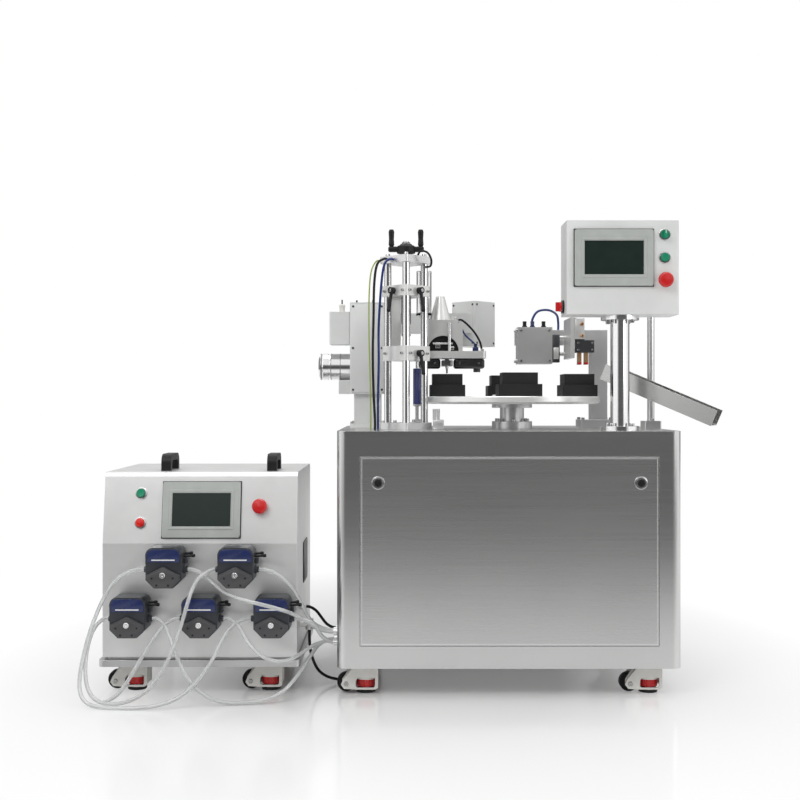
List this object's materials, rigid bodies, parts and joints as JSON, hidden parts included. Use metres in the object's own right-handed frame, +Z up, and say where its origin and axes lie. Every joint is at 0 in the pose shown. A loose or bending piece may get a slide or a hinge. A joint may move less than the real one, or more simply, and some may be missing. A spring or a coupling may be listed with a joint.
{
  "type": "tube filling machine",
  "caption": "Rotary strip-tube filling and sealing machine on a castor cabinet, with indexing table, lifting filler, unloading gripper, chute, control box and peristaltic pump unit.",
  "frame": {"origin": "middle of the footprint of both units, on the floor", "axes": "+X to the operator's right, +Y to the back, +Z up"},
  "size_m": [1.7191, 0.7947, 1.2526],
  "materials": {
    "cabinet_steel": "horizontal brushed stainless",
    "door_steel": "horizontal brushed stainless",
    "lock_metal": "satin chrome",
    "machined_aluminium": "fine machined",
    "table_aluminium": "turned, clear anodised",
    "nest_black": "matt black",
    "polished_rod": "ground and polished",
    "arm_aluminium": "clear anodised",
    "screw_steel": "oiled steel",
    "black_plastic": "moulded black",
    "needle_steel": "satin",
    "pale_paint": "pale grey powder coat",
    "chrome": "bright",
    "dark_anodised": "dark anodised",
    "brass": "satin",
    "chute_steel": "satin stainless",
    "bezel_plastic": "grey moulded",
    "screen_glass": "dark glossy",
    "green_plastic": "moulded green",
    "red_plastic": "moulded red",
    "motor_iron": "painted",
    "air_tube": "polyurethane tube",
    "pump_steel": "satin silver",
    "tray_steel": "satin",
    "pump_plastic": "moulded dark",
    "red_lens": "clear red lens",
    "clear_hose": "silicone",
    "cable_rubber": "black sheath",
    "castor_cream": "cream moulded",
    "castor_black": "black"
  },
  "bodies": {
    "root": {"cabinet_shell": "cabinet_steel", "hub_column": "machined_aluminium", "lift_plates": "machined_aluminium", "lift_posts": "polished_rod", "sealing_housing": "pale_paint", "transducer_barrel": "chrome", "rear_housing": "pale_paint", "unload_stand": "machined_aluminium", "chute": "chute_steel", "control_post": "polished_rod", "control_box": "pale_paint", "hmi_bezels": "bezel_plastic", "hmi_screens": "screen_glass", "drive_motors": "motor_iron", "machine_hoses": "air_tube", "pump_cabinet": "pump_steel", "pump_tray": "tray_steel", "pump_handles": "black_plastic", "pump_heads": "pump_plastic", "pilot_lamp": "red_lens", "product_hoses": "clear_hose", "link_cables": "cable_rubber"},
    "door": {"front_door": "door_steel"},
    "door_lock_left": {"door_lock_left": "lock_metal"},
    "door_lock_right": {"door_lock_right": "lock_metal"},
    "turntable": {"turntable_disc": "table_aluminium", "tube_nests": "nest_black"},
    "carriage": {"lift_carriage": "arm_aluminium"},
    "screw": {"lift_screw": "screw_steel", "handwheel": "black_plastic"},
    "needles": {"needle_block": "needle_steel"},
    "clamp_lever_1": {"clamp_lever_1": "black_plastic"},
    "clamp_lever_2": {"clamp_lever_2": "black_plastic"},
    "clamp_lever_3": {"clamp_lever_3": "black_plastic"},
    "unload_slide": {"unload_slide": "arm_aluminium"},
    "unload_lift": {"unload_lift": "dark_anodised"},
    "finger_left": {"finger_left": "brass"},
    "finger_right": {"finger_right": "brass"},
    "start_selector": {"start_selector": "green_plastic"},
    "run_button": {"run_button": "green_plastic"},
    "main_stop": {"main_stop": "red_plastic"},
    "side_switch": {"side_switch": "red_plastic"},
    "pump_button": {"pump_button": "green_plastic"},
    "pump_stop": {"pump_stop": "red_plastic"},
    "castor_1": {"castor_frame_1": "castor_cream"},
    "wheel_1": {"castor_wheel_1": "castor_black"},
    "castor_2": {"castor_frame_2": "castor_cream"},
    "wheel_2": {"castor_wheel_2": "castor_black"},
    "castor_3": {"castor_frame_3": "castor_cream"},
    "wheel_3": {"castor_wheel_3": "castor_black"},
    "castor_4": {"castor_frame_4": "castor_cream"},
    "wheel_4": {"castor_wheel_4": "castor_black"},
    "castor_5": {"castor_frame_5": "castor_cream"},
    "wheel_5": {"castor_wheel_5": "castor_black"},
    "castor_6": {"castor_frame_6": "castor_cream"},
    "wheel_6": {"castor_wheel_6": "castor_black"},
    "castor_7": {"castor_frame_7": "castor_cream"},
    "wheel_7": {"castor_wheel_7": "castor_black"},
    "castor_8": {"castor_frame_8": "castor_cream"},
    "wheel_8": {"castor_wheel_8": "castor_black"}
  },
  "joints": [
    {"name": "door_tilt", "type": "hinge", "parent": "root", "child": "door", "pos_m": [0.23932, -0.2925, 0.135], "axis": [1, 0, 0], "range_deg": [0, 75]},
    {"name": "lock_left_turn", "type": "hinge", "parent": "door", "child": "door_lock_left", "pos_m": [-0.10268, -0.2925, 0.559], "axis": [0, -1, 0], "range_deg": [0, 90]},
    {"name": "lock_right_turn", "type": "hinge", "parent": "door", "child": "door_lock_right", "pos_m": [0.58132, -0.2925, 0.559], "axis": [0, 1, 0], "range_deg": [0, 90]},
    {"name": "table_index", "type": "hinge", "parent": "root", "child": "turntable", "pos_m": [0.27632, 0.0275, 0.764], "axis": [0, 0, 1], "continuous": true},
    {"name": "screw_turn", "type": "hinge", "parent": "root", "child": "screw", "pos_m": [-0.02868, -0.0625, 1.155], "axis": [0, 0, -1], "range_deg": [0, 3600]},
    {"name": "arm_lift", "type": "slide", "parent": "root", "child": "carriage", "axis": [0, 0, 1], "range_m": [0, 0.05]},
    {"name": "needle_stroke", "type": "slide", "parent": "carriage", "child": "needles", "axis": [0, 0, -1], "range_m": [0, 0.02]},
    {"name": "lever_1_turn", "type": "hinge", "parent": "carriage", "child": "clamp_lever_1", "pos_m": [-0.06333, -0.09715, 1.078], "axis": [0.7071, 0.7071, 0], "range_deg": [0, 75]},
    {"name": "lever_2_turn", "type": "hinge", "parent": "carriage", "child": "clamp_lever_2", "pos_m": [0.00597, -0.09715, 1.078], "axis": [0.7071, -0.7071, 0], "range_deg": [0, 75]},
    {"name": "lever_3_turn", "type": "hinge", "parent": "carriage", "child": "clamp_lever_3", "pos_m": [0.00597, -0.09715, 0.9045], "axis": [0.7071, -0.7071, 0], "range_deg": [0, 75]},
    {"name": "unload_reach", "type": "slide", "parent": "root", "child": "unload_slide", "axis": [1, 0, 0], "range_m": [-0.016, 0.016]},
    {"name": "unload_drop", "type": "slide", "parent": "unload_slide", "child": "unload_lift", "axis": [0, 0, -1], "range_m": [0, 0.024]},
    {"name": "grip_left", "type": "slide", "parent": "unload_lift", "child": "finger_left", "axis": [1, 0, 0], "range_m": [-0.005, 0.004]},
    {"name": "grip_right", "type": "slide", "parent": "unload_lift", "child": "finger_right", "axis": [-1, 0, 0], "range_m": [-0.005, 0.004]},
    {"name": "selector_turn", "type": "hinge", "parent": "root", "child": "start_selector", "pos_m": [0.64332, -0.2875, 1.206], "axis": [0, 1, 0], "range_deg": [0, 90]},
    {"name": "run_press", "type": "slide", "parent": "root", "child": "run_button", "axis": [0, 1, 0], "range_m": [0, 0.004], "stiffness_N_per_m": 400},
    {"name": "main_stop_press", "type": "slide", "parent": "root", "child": "main_stop", "axis": [0, 1, 0], "range_m": [0, 0.004], "stiffness_N_per_m": 600},
    {"name": "side_switch_turn", "type": "hinge", "parent": "root", "child": "side_switch", "pos_m": [0.38232, -0.2325, 1.022], "axis": [1, 0, 0], "range_deg": [0, 90]},
    {"name": "pump_press", "type": "slide", "parent": "root", "child": "pump_button", "axis": [0, 0.9848, -0.1736], "range_m": [0, 0.004], "stiffness_N_per_m": 400},
    {"name": "pump_stop_press", "type": "slide", "parent": "root", "child": "pump_stop", "axis": [0, 0.9848, -0.1736], "range_m": [0, 0.004], "stiffness_N_per_m": 600},
    {"name": "castor_1_swivel", "type": "hinge", "parent": "root", "child": "castor_1", "pos_m": [-0.13568, -0.2175, 0.07], "axis": [0, 0, 1], "continuous": true},
    {"name": "castor_1_roll", "type": "hinge", "parent": "castor_1", "child": "wheel_1", "pos_m": [-0.18768, -0.2175, 0.0263], "axis": [0, 1, 0], "continuous": true},
    {"name": "castor_2_swivel", "type": "hinge", "parent": "root", "child": "castor_2", "pos_m": [-0.13568, 0.2825, 0.07], "axis": [0, 0, 1], "continuous": true},
    {"name": "castor_2_roll", "type": "hinge", "parent": "castor_2", "child": "wheel_2", "pos_m": [-0.18768, 0.2825, 0.0263], "axis": [0, 1, 0], "continuous": true},
    {"name": "castor_3_swivel", "type": "hinge", "parent": "root", "child": "castor_3", "pos_m": [0.61432, -0.2175, 0.07], "axis": [0, 0, 1], "continuous": true},
    {"name": "castor_3_roll", "type": "hinge", "parent": "castor_3", "child": "wheel_3", "pos_m": [0.56232, -0.2175, 0.0263], "axis": [0, 1, 0], "continuous": true},
    {"name": "castor_4_swivel", "type": "hinge", "parent": "root", "child": "castor_4", "pos_m": [0.61432, 0.2825, 0.07], "axis": [0, 0, 1], "continuous": true},
    {"name": "castor_4_roll", "type": "hinge", "parent": "castor_4", "child": "wheel_4", "pos_m": [0.56232, 0.2825, 0.0263], "axis": [0, 1, 0], "continuous": true},
    {"name": "castor_5_swivel", "type": "hinge", "parent": "root", "child": "castor_5", "pos_m": [-0.75168, -0.1875, 0.07], "axis": [0, 0, 1], "continuous": true},
    {"name": "castor_5_roll", "type": "hinge", "parent": "castor_5", "child": "wheel_5", "pos_m": [-0.80368, -0.1875, 0.0263], "axis": [0, 1, 0], "continuous": true},
    {"name": "castor_6_swivel", "type": "hinge", "parent": "root", "child": "castor_6", "pos_m": [-0.75168, 0.1125, 0.07], "axis": [0, 0, 1], "continuous": true},
    {"name": "castor_6_roll", "type": "hinge", "parent": "castor_6", "child": "wheel_6", "pos_m": [-0.80368, 0.1125, 0.0263], "axis": [0, 1, 0], "continuous": true},
    {"name": "castor_7_swivel", "type": "hinge", "parent": "root", "child": "castor_7", "pos_m": [-0.39168, -0.1875, 0.07], "axis": [0, 0, 1], "continuous": true},
    {"name": "castor_7_roll", "type": "hinge", "parent": "castor_7", "child": "wheel_7", "pos_m": [-0.44368, -0.1875, 0.0263], "axis": [0, 1, 0], "continuous": true},
    {"name": "castor_8_swivel", "type": "hinge", "parent": "root", "child": "castor_8", "pos_m": [-0.39168, 0.1125, 0.07], "axis": [0, 0, 1], "continuous": true},
    {"name": "castor_8_roll", "type": "hinge", "parent": "castor_8", "child": "wheel_8", "pos_m": [-0.44368, 0.1125, 0.0263], "axis": [0, 1, 0], "continuous": true}
  ],
  "couplings": [
    {"joint": "screw_turn", "follows": "arm_lift", "rad_per_m": 1256.6},
    {"joint": "grip_right", "follows": "grip_left", "ratio": 1}
  ]
}
